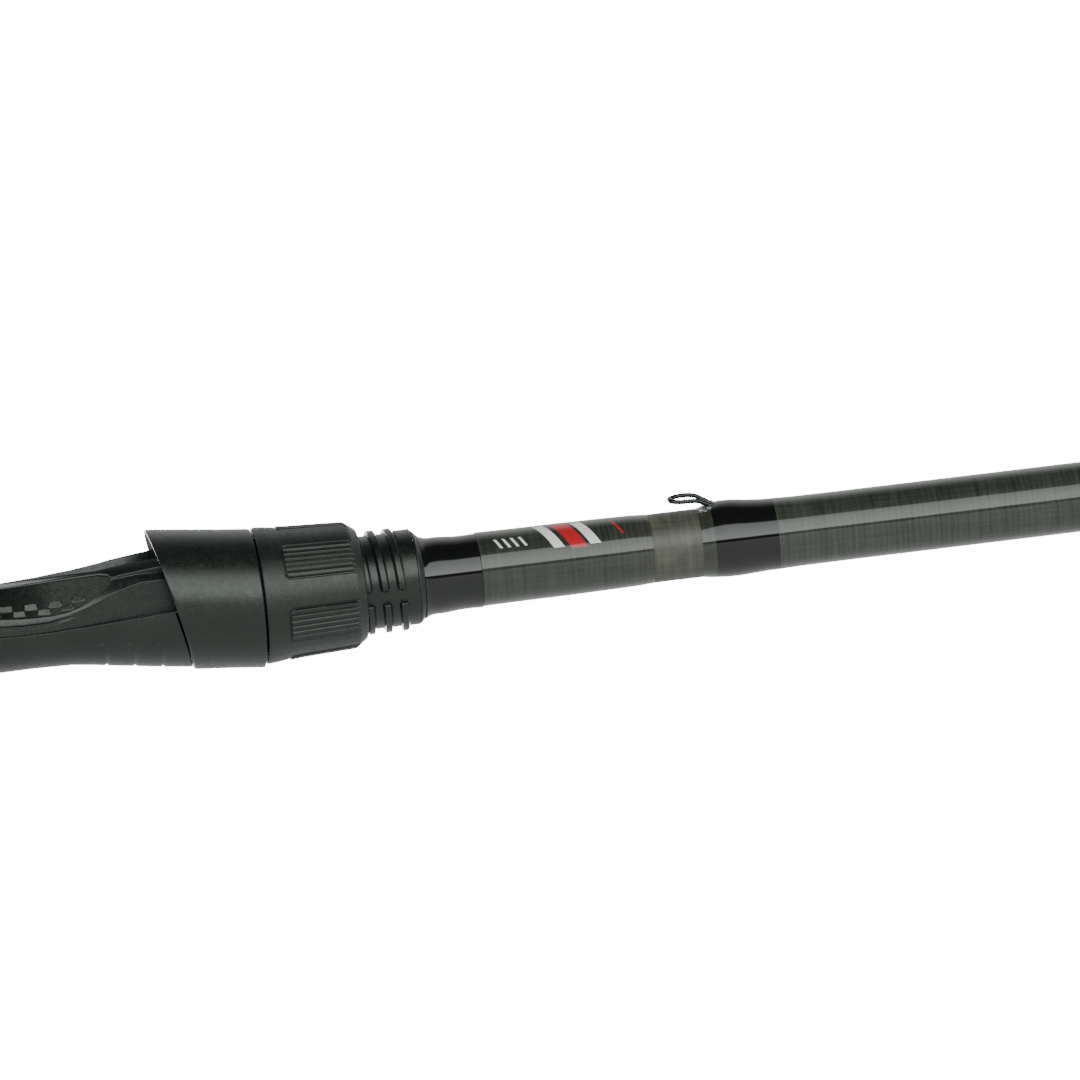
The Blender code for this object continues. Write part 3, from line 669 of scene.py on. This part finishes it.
def barrel():
    """The seat's front barrel and its broken thread."""
    xs = spaced((SEAM - 24.0, SEAM - 16.0, 1.0), (SEAM - 16.0, SEAM - 14.0, 0.25),
                (SEAM - 14.0, SEAM - 8.0, 1.0), (SEAM - 8.0, SEAM - 2.0, 0.5),
                (SEAM - 2.0, SEAM + BARREL_END, 0.1))
    turn = angles(300)
    side = from_top(turn)
    off_key = (side - KEYWAY) * KEYWAY_RADIUS * math.pi / 180.0
    key = np.where(off_key < 0.0, smooth(1.0, 2.2, -off_key), smooth(1.05, 1.3, off_key))
    upper = np.maximum(np.cos(np.radians(turn)), 0.0)
    flat = SHANK_FLAT / np.maximum(np.cos(np.radians(side)), 0.2)
    rows = [ring_points(xs[0], BARREL_BORE, turn)]
    for x in xs:
        rel = x - SEAM
        base = (SHANK - (SHANK - NECK) * (1.0 - smooth(-15.4, -14.8, rel))
                - (SHANK - THREAD_ROOT) * smooth(-1.5, -0.7, rel))
        # A collar ends the thread, thicker over the top.
        base = base + (0.05 + 0.3 * upper) * smooth(27.3, 27.6, rel)
        phase = (rel + 0.15 - THREAD_PITCH * turn / 360.0) % THREAD_PITCH
        ridge = 1.0 - smooth(0.45, 1.0, np.minimum(phase, THREAD_PITCH - phase))
        run = rel - THREAD_PITCH * np.where(turn > 300.0, turn - 360.0, turn) / 360.0
        span = smooth(0.2, 1.0, rel) * (1.0 - smooth(26.9, 27.4, run))
        radius = base + (THREAD_CREST - base) * ridge * span * key
        if rel < -7.0:
            radius = np.minimum(radius, flat)
        rows.append(ring_points(x, radius, turn))
    rows.append(ring_points(SEAM + BARREL_END + 0.1, 9.0, turn))
    rows.append(ring_points(SEAM + BARREL_END + 0.1, BARREL_BORE, turn))
    mesh = loft_mesh("seat_barrel", rows, wrap_rows=True)
    add_piece("seat_barrel", mesh, "rod", seat_plastic, sharp=50.0)


HOOD_FRONT = SEAM - 0.1
HOOD_RADIUS = 13.42
HOOD_SWELL = 0.13               # how much that radius grows towards the mouth
HOOD_MIDDLE = -0.37             # height of its middle at the seam
LEAN = math.tan(math.radians(6.0))      # how fast that middle rises towards the mouth
LIP_ROUND, LIP_SHARE = 0.4, 0.035       # rounding of the mouth's lip, and its share of the length
RIM_ROUND, RIM_SHARE = 0.28, 0.015      # the same of the front edge
HOOD_BORE = 10.35
BORE_START = SEAM - 7.0         # behind it the hood opens into a pocket for the reel foot
POCKET_MIDDLE = (0.0, 1.2)


def moving_hood():
    """The moving hood: a tapering shell with a slanted, round-lipped mouth."""
    turn = angles(256)
    angle = np.radians(turn)
    rows = []

    def outside_at(share, inset):
        """Outside points at a share of the way from the mouth to the front face."""
        x = np.full(turn.shape, HOOD_FRONT - 18.0)
        # A point's height moves the mouth and the mouth moves the point, so they settle together.
        for _ in range(12):
            radius = HOOD_RADIUS + HOOD_SWELL * smooth(4.0, 18.0, SEAM - x) - inset
            z = HOOD_MIDDLE - LEAN * (x - SEAM) + radius * np.cos(angle)
            x = mouth_x(z) + (HOOD_FRONT - mouth_x(z)) * share
        return np.stack([x, -radius * np.sin(angle), z], axis=-1)

    for t in np.linspace(1.0, 0.0, 9):
        bend = t * math.pi / 2
        rows.append(outside_at(LIP_SHARE * (1.0 - math.sin(bend)),
                               LIP_ROUND * (1.0 - math.cos(bend))))
    for share in np.linspace(0.06, 1.0 - RIM_SHARE, 60):
        rows.append(outside_at(share, 0.0))
    for t in np.linspace(0.1, 1.0, 6):
        bend = t * math.pi / 2
        rows.append(outside_at(1.0 - RIM_SHARE + RIM_SHARE * math.sin(bend),
                               RIM_ROUND * (1.0 - math.cos(bend))))
    for x, radius in ((HOOD_FRONT, 12.6), (HOOD_FRONT, 11.45), (HOOD_FRONT, HOOD_BORE),
                      (SEAM - 3.1, HOOD_BORE), (BORE_START, HOOD_BORE)):
        rows.append(ring_points(x, radius, turn))
    rows.append(ring_points(BORE_START - 0.1, 11.9, turn, POCKET_MIDDLE))
    for share in (0.6, 0.4, 0.25, 0.14):
        ring = ring_points(BORE_START, 12.1, turn, POCKET_MIDDLE)
        ring[:, 0] = mouth_x(ring[:, 2]) + (BORE_START - mouth_x(ring[:, 2])) * share
        rows.append(ring)
    mesh = loft_mesh("moving_hood_shell", rows, wrap_rows=True)
    add_piece("moving_hood_shell", mesh, "hood", hood_plastic, ["moving_hood"],
              50.0)


NUT_OUTSIDE = ((0.25, 12.9), (0.45, 13.12), (0.8, 13.2), (2.4, 13.08), (3.8, 12.88), (5.2, 12.68),
               (7.0, 12.5), (14.5, 12.15), (17.9, 11.98), (18.4, 11.85), (19.9, 10.8),
               (20.15, 10.55), (20.2, 10.3))
NUT_INSIDE = ((20.2, 10.25), (19.6, 10.25), (3.1, 10.25), (3.1, 11.7), (0.25, 11.7))
FIRST_PAD = -7.0                # degrees from the top to the middle of a pad
PAD_STEP = 60.0
PAD_HALF = 16.0
PAD_REAR = 4.9
PAD_FADES = (17.7, 18.7)        # where the pads run out at the nut's front
PAD_CORNER = 1.0
PAD_HEIGHT = 0.02
RIBS = 6                        # on each pad
RIB_HEIGHT = 0.24
OUTLINE_DEPTH = 0.2             # of the fine groove round each pad


def lock_nut():
    """The lock nut, with six ribbed pads round it."""
    turn = angles(900)
    xs = SEAM + spaced((0.25, 0.8, 0.09), (0.8, 3.0, 0.4), (3.0, 6.5, 0.12), (6.5, 16.5, 0.4),
                       (16.5, 20.2, 0.1))
    # Each point's angle from the middle of its nearest pad.
    local = (turn - FIRST_PAD + PAD_STEP / 2) % PAD_STEP - PAD_STEP / 2
    wave = (local + PAD_HALF) / (2.0 * PAD_HALF) * RIBS % 1.0
    rib = smooth(0.0, 0.22, wave) * (1.0 - smooth(0.72, 1.0, wave))
    rows = []
    for x in xs:
        rel = x - SEAM
        base = float(along(NUT_OUTSIDE, rel))
        # How far inside the pad's outline each point is, in mm.
        edge = (PAD_HALF - np.abs(local)) * base * math.pi / 180.0
        rear = rel - PAD_REAR
        rounded = PAD_CORNER - np.hypot(PAD_CORNER - edge, PAD_CORNER - rear)
        inside = np.where((edge < PAD_CORNER) & (rear < PAD_CORNER), rounded,
                          np.minimum(edge, rear))
        fade = 1.0 - smooth(*PAD_FADES, rel)
        pad = smooth(0.0, 0.2, inside) * fade
        outline = bump(inside, -0.12, 0.08, 0.14) * fade
        radius = base + pad * (PAD_HEIGHT + RIB_HEIGHT * rib) - OUTLINE_DEPTH * outline
        rows.append(ring_points(x, radius, turn))
    for rel, radius in NUT_INSIDE:
        rows.append(ring_points(SEAM + rel, radius, turn))
    mesh = loft_mesh("lock_nut_shell", rows, wrap_rows=True)
    add_piece("lock_nut_shell", mesh, "nut", nut_plastic, ["lock_nut"], 50.0)


seat_shell()
fixed_hood()
barrel()
moving_hood()
lock_nut()

# ------------------------------------------------------------------ blank, wraps and coats

# The blank's radius, counted from the butt.
BLANK = ((8.0, 6.85), (422.0, 6.64), (436.9, 6.62), (437.0, 6.95), (438.6, 6.9), (441.6, 6.81),
         (450.0, 6.78), (495.0, 6.76), (620.0, 6.2), (1100.0, 4.4), (1700.0, 2.4), (2126.0, 1.0))
BLANK_BORE_SHARE = 0.7          # the bore's radius as a share of the outside's
COAT_START = SEAM + 101.05      # where the clear coat of the front blank starts
FRONT_BORE = 6.7
CHECK_START = SEAM + 30.6
CHECK_LENGTH = 1.15
BUTT_WRAP_START = SEAM + 31.8
BUTT_WRAP_LENGTH = 11.2
BUTT_WRAP_MIDDLE = (0.0, -0.17)

# The rest are counted from the seam: the glossy coat, the keeper's wrap and the hump on its top.
COAT = ((43.0, 7.19), (46.0, 7.16), (52.0, 7.1), (60.0, 7.08), (68.0, 6.98), (73.0, 6.89),
        (75.0, 6.78), (76.3, 6.7), (76.6, 6.62))
KEEPER_EPOXY = ((86.0, 6.62), (86.5, 6.72), (87.3, 6.86), (88.6, 7.0), (91.0, 7.2), (93.5, 7.24),
                (96.5, 7.08), (99.0, 6.95), (101.1, 6.94))
KEEPER_HUMP = ((86.6, 0.0), (87.6, 0.15), (88.8, 0.4), (90.5, 0.52), (92.5, 0.46), (95.5, 0.2),
               (98.5, 0.08), (100.5, 0.0))
KEEPER_START, KEEPER_END = KEEPER_EPOXY[0][0], KEEPER_EPOXY[-1][0]
THREAD_EDGE = 88.6              # where the keeper's thread starts under its epoxy
HUMP_SPREAD = 38.0              # degrees
KEEPER_BORE = 6.5


def blank():
    """The blank in two finishes: bare up to the keeper wrap, clear-coated in front of it."""
    turn = angles(ROUND_SIDES)
    for name, spans, finish, nodes in (
            ("blank_bare", [(8.2, COAT_START, 4.0)], matte_carbon, ["blank"]),
            ("blank_coated", [(COAT_START, 620.0, 4.0), (620.0, 2125.8, 12.0)], clear_carbon, [])):
        xs = spaced(*spans)
        rows = [ring_points(x, along(BLANK, x), turn) for x in xs]
        for x in (xs[-1], xs[0]):
            rows.append(ring_points(x, along(BLANK, x) * BLANK_BORE_SHARE, turn))
        mesh = loft_mesh(name, rows, wrap_rows=True)
        add_piece(name, mesh, "rod", finish, nodes)


def front_pieces():
    """The winding check, the butt wrap and the glossy coat, in front of the seat."""
    flare = shifted(CHECK_START, (0.0, 9.0, 0.05), (0.3, 8.95), (0.75, 8.45),
                    (CHECK_LENGTH, 8.12, 0.1))
    bore = shifted(CHECK_START, (0.0, FRONT_BORE), (CHECK_LENGTH, FRONT_BORE))
    lathe("winding_check_flare", flare, bore, check_rubber, "winding_check", 0.4)
    wrap = shifted(BUTT_WRAP_START, (0.0, 8.12, 0.05), (0.5, 7.82), (1.1, 7.56), (2.1, 7.4),
                   (3.4, 7.44), (5.0, 7.33), (7.0, 7.13), (9.0, 7.1),
                   (BUTT_WRAP_LENGTH, 7.19, 0.1))
    bore = shifted(BUTT_WRAP_START, (0.0, FRONT_BORE - 0.2), (BUTT_WRAP_LENGTH, FRONT_BORE - 0.2))
    lathe("butt_wrap_epoxy", wrap, bore, wrap_black, "butt_wrap", 1.2,
          BUTT_WRAP_MIDDLE)
    coat = [(SEAM + x, r, 1.0) for x, r in COAT]
    bore = shifted(SEAM, (COAT[0][0], FRONT_BORE - 0.02), (COAT[-1][0], FRONT_BORE - 0.12))
    lathe("butt_coat_clear", coat, bore, butt_carbon, "butt_coat", 0.5)


def keeper_wrap():
    """The hook keeper's wrap: clear epoxy at its rear, then black thread, humped over the legs."""
    turn = angles(160)
    spread = np.exp(-(from_top(turn) / HUMP_SPREAD) ** 2)
    for name, start, end, finish, nodes in (
            ("keeper_epoxy_rear", KEEPER_START, THREAD_EDGE, butt_carbon, []),
            ("keeper_wrap_epoxy", THREAD_EDGE, KEEPER_END, wrap_black, ["keeper_wrap"])):
        rows = [ring_points(SEAM + start, KEEPER_BORE, turn)]
        for x in spaced((start, end, 0.25)):
            radius = along(KEEPER_EPOXY, x) + along(KEEPER_HUMP, x) * spread
            rows.append(ring_points(SEAM + x, radius, turn))
        rows.append(ring_points(SEAM + end, KEEPER_BORE, turn))
        mesh = loft_mesh(name, rows, wrap_rows=True)
        add_piece(name, mesh, "rod", finish, nodes, 60.0)


# The keeper's wire from its near leg round the loop to its far leg.
KEEPER_WIRE = ((94.5, -1.05, 6.98), (90.6, -1.05, 7.0), (89.2, -1.15, 7.15), (88.0, -1.35, 7.62),
               (86.6, -1.6, 8.3), (85.0, -1.8, 8.5), (83.2, -1.75, 8.55), (82.0, -1.3, 8.68),
               (81.35, -0.55, 8.85), (81.35, 0.55, 9.05), (82.0, 1.3, 9.15), (83.2, 1.75, 9.25),
               (85.0, 1.8, 9.25), (86.6, 1.6, 8.9), (88.0, 1.35, 8.1), (89.2, 1.15, 7.4),
               (90.6, 1.05, 7.05), (94.5, 1.05, 6.98))
WIRE_RADIUS = 0.45
TUBE_SIDES = 20

# Each bead of resin: its middle from the seam, y, z and half its length.
BEADS = ((86.9, -2.1, 6.55, 0.55), (87.7, -2.6, 6.3, 0.42), (88.5, -2.2, 6.6, 0.6),
         (87.8, 0.9, 6.8, 0.5))
BEAD_TIP = 0.003                # keeps a bead's ends from closing to a point


def tube(name, path, radius_at, material, per_span, nodes=()):
    """A smooth tube through the path's points; radius_at takes a share of the way along it."""
    knots = [2 * Vector(path[0]) - Vector(path[1]), *map(Vector, path),
             2 * Vector(path[-1]) - Vector(path[-2])]
    line = []
    for a, b, c, d in zip(knots, knots[1:], knots[2:], knots[3:]):
        for step in range(per_span):
            t = step / per_span
            line.append(0.5 * (2 * b + (c - a) * t + (2 * a - 5 * b + 4 * c - d) * t ** 2
                               + (3 * b - a - 3 * c + d) * t ** 3))
    line.append(knots[-2])
    side = Vector((0.0, 0.0, 1.0))
    rows = []
    for i, here in enumerate(line):
        ahead = (line[min(i + 1, len(line) - 1)] - line[max(i - 1, 0)]).normalized()
        side = (side - ahead * side.dot(ahead)).normalized()
        up = ahead.cross(side)
        size = radius_at(i / (len(line) - 1))
        rows.append([here + (side * math.cos(a) + up * math.sin(a)) * size
                     for a in np.radians(angles(TUBE_SIDES))])
    mesh = loft_mesh(name, rows, caps=True)
    add_piece(name, mesh, "rod", material, nodes, 60.0)


def bead_radius(size):
    """The radius of a tube that makes a round bead."""
    return lambda share: size * math.sqrt(max(1.0 - (2.0 * share - 1.0) ** 2, BEAD_TIP))


def hook_keeper():
    """The keeper's loop of wire, with beads of resin where its legs go under the wrap."""
    tube("hook_keeper_wire", shifted(SEAM, *KEEPER_WIRE), lambda share: WIRE_RADIUS, wire_metal,
         8, ["hook_keeper"])
    for number, (x, y, z, size) in enumerate(BEADS, 1):
        path = [(SEAM + x + step * size, y, z) for step in (-1.0, -0.4, 0.4, 1.0)]
        tube("resin_bead_%d" % number, path, bead_radius(size), resin, 5)


MARK_ROWS, MARK_COLUMNS = 24, 6
MARK_LIFT = 0.012               # how far a printed mark lies above the coat


def mark(name, start, end, low, high, slant, material):
    """A printed bar: start and end from the seam, low and high degrees from the top."""
    rows = []
    for degrees in np.linspace(low, high, MARK_ROWS):
        shift = slant * (degrees - low) / (high - low)
        xs = np.linspace(start + shift, end + shift, MARK_COLUMNS)
        rows.append(ring_points(SEAM + xs, along(COAT, xs) + MARK_LIFT,
                                np.full(MARK_COLUMNS, degrees)))
    points = np.concatenate(rows) * MM
    faces = []
    for i in range(MARK_ROWS - 1):
        for j in range(MARK_COLUMNS - 1):
            corner = i * MARK_COLUMNS + j
            faces.append((corner, corner + MARK_COLUMNS, corner + MARK_COLUMNS + 1, corner + 1))
    mesh = bpy.data.meshes.new(name)
    mesh.from_pydata(points.tolist(), [], faces)
    mesh.update()
    add_piece(name, mesh, "rod", material)


def marks():
    """A plain geometric decoration: slanted bars in white and red, and a row of short ticks."""
    for number, start in enumerate((46.0, 47.6, 49.2, 50.8), 1):
        mark("tick_%d" % number, start, start + 0.55, 34.0, 52.0, 1.1, paint_white)
    mark("bar_1", 54.0, 56.1, 8.0, 62.0, 3.4, paint_white)
    mark("bar_2", 57.0, 60.2, 4.0, 66.0, 3.8, paint_red)
    mark("bar_3", 61.1, 63.2, 8.0, 62.0, 3.4, paint_white)
    mark("bar_4", 68.6, 69.1, 12.0, 50.0, 2.2, paint_red)


blank()
front_pieces()
keeper_wrap()
hook_keeper()
marks()

# ------------------------------------------------------------------ finishes of the CAD nodes

COLLARS = ("seat_trim_ring", "butt_grip_check", "rear_grip_check")
HOLED = ("_ring", "_frame", "_liner", "_arbor")     # nodes whose holes joined flats would close
WELD_GAP = 0.002 * MM
FLAT_ANGLE = math.radians(1.5)      # faces this close to level are joined into one
EDGE_ANGLE = math.radians(50.0)     # edges that turn more than this are eased
EDGE_WIDTH = 0.12 * MM


def finish_of(node):
    """The material of a CAD node, mostly by the ending of its name."""
    if node in COLLARS:
        return gunmetal
    if node == "hook_keeper":
        return wire_metal
    if node == "coupling_ring":
        return cap_rubber
    for ending, finish in (("_frame", frame_metal), ("_wrap", wrap_black), ("_ring", ring_black),
                           ("_liner", steel), ("_arbor", cork_fill), ("_grip", eva)):
        if node.endswith(ending):
            return finish
    return cap_rubber


def add_modifier(obj, name, kind, **settings):
    modifier = obj.modifiers.new(name, kind)
    for key, value in settings.items():
        setattr(modifier, key, value)


def round_off(node, obj):
    """Eases a CAD node's edges and smooths its faceted curves."""
    add_modifier(obj, "joined", "WELD", merge_threshold=WELD_GAP)
    if not node.endswith(HOLED):
        add_modifier(obj, "flats", "DECIMATE", decimate_type="DISSOLVE", angle_limit=FLAT_ANGLE)
    add_modifier(obj, "eased_edges", "BEVEL", limit_method="ANGLE", angle_limit=EDGE_ANGLE,
                 width=EDGE_WIDTH, segments=2)
    levels = 1 if node.endswith("_frame") else 2
    add_modifier(obj, "rounded", "SUBSURF", levels=levels, render_levels=levels)


for node, obj in frame["nodes"].items():
    obj.data.materials.clear()
    obj.data.materials.append(finish_of(node))
    obj.data.shade_smooth()
    if node not in replaced:
        round_off(node, obj)

# ------------------------------------------------------------------ studio

FLOOR_Z = -0.3
FLOOR_HALF = 40.0
WASHED_OUT = (0.78, 0.98)       # how far behind the rod the floor turns white
FLOOR_GLOW, FAR_GLOW = 0.25, 15.0

# The light round the rod, as (degrees up from the horizon in front, radiance).
SKY = ((-90.0, 0.3), (0.0, 0.03), (7.5, 0.03), (9.0, 4.9), (30.0, 3.9), (49.0, 3.0), (52.5, 0.07),
       (107.0, 0.07), (124.0, 0.6), (135.0, 0.95), (180.0, 0.95))
SKY_TINT = (0.955, 1.0, 0.965)

AZIMUTH = math.radians(6.8)
ELEVATION = math.radians(8.5)
DISTANCE = 3.0
ROLL = math.radians(-5.87)
LENS = 520.0
SENSOR = 36.0
TARGET = Vector((0.39155, 0.0, 0.00425))        # the point that the camera looks at


def floor_material():
    """Pale floor, lit evenly near the rod and washed out to white far behind it."""
    m = surface("floor")
    far = m.range(m.xyz()[1], *WASHED_OUT, 0.0, 1.0)
    m.set(Base_Color=m.mix(m.noise(30.0, 3.0), (0.72, 0.72, 0.72), (0.78, 0.78, 0.78)),
          Roughness=0.9, Specular_IOR_Level=0.1, Emission_Color=(1.0, 1.0, 1.0),
          Emission_Strength=m.range(far, 0.0, 1.0, FLOOR_GLOW, FAR_GLOW))
    return m.owner


def studio():
    """The floor, well below the rod."""
    corners = [(-FLOOR_HALF, -FLOOR_HALF, 0.0), (FLOOR_HALF, -FLOOR_HALF, 0.0),
               (FLOOR_HALF, FLOOR_HALF, 0.0), (-FLOOR_HALF, FLOOR_HALF, 0.0)]
    mesh = bpy.data.meshes.new("floor")
    mesh.from_pydata(corners, [], [(0, 1, 2, 3)])
    mesh.materials.append(floor_material())
    floor = bpy.data.objects.new("floor", mesh)
    floor.location = (0.0, 0.0, FLOOR_Z)
    bpy.context.scene.collection.objects.link(floor)


def world():
    """Soft boxes all along the rod: a bright one above in front and a dim one behind."""
    w = Nodes(bpy.data.worlds.new("studio"), "Background", "Generated")
    _, y, z = w.xyz()
    turn = w.math("ARCTAN2", z, w.math("MULTIPLY", y, -1.0))
    ramp = w.add("ShaderNodeValToRGB")
    w.feed(ramp.inputs["Fac"], w.range(turn, -math.pi, math.pi, 0.0, 1.0))
    stops = ramp.color_ramp.elements
    while len(stops) < len(SKY):
        stops.new(0.5)
    brightest = max(value for _, value in SKY)
    for stop, (degrees, value) in zip(stops, SKY):
        stop.position = (degrees + 180.0) / 360.0
        stop.color = (*(value / brightest * tint for tint in SKY_TINT), 1.0)
    w.set(Color=ramp.outputs["Color"], Strength=brightest)
    bpy.context.scene.world = w.owner


def camera():
    """A long lens a little above the rod, looking across the front of its seat."""
    data = bpy.data.cameras.new("camera")
    data.lens = LENS
    data.sensor_width = SENSOR
    data.clip_end = 200.0
    cam = bpy.data.objects.new("camera", data)
    back = Vector((-math.sin(AZIMUTH) * math.cos(ELEVATION),
                   -math.cos(AZIMUTH) * math.cos(ELEVATION), math.sin(ELEVATION)))
    cam.location = TARGET + back * DISTANCE
    aim = (-back).to_track_quat("-Z", "Y").to_matrix()
    tilt = aim @ Vector((0.0, 0.0, 1.0))
    cam.rotation_mode = "QUATERNION"
    cam.rotation_quaternion = Quaternion(tilt, ROLL) @ aim.to_quaternion()
    bpy.context.scene.collection.objects.link(cam)
    bpy.context.scene.camera = cam


studio()
world()
camera()
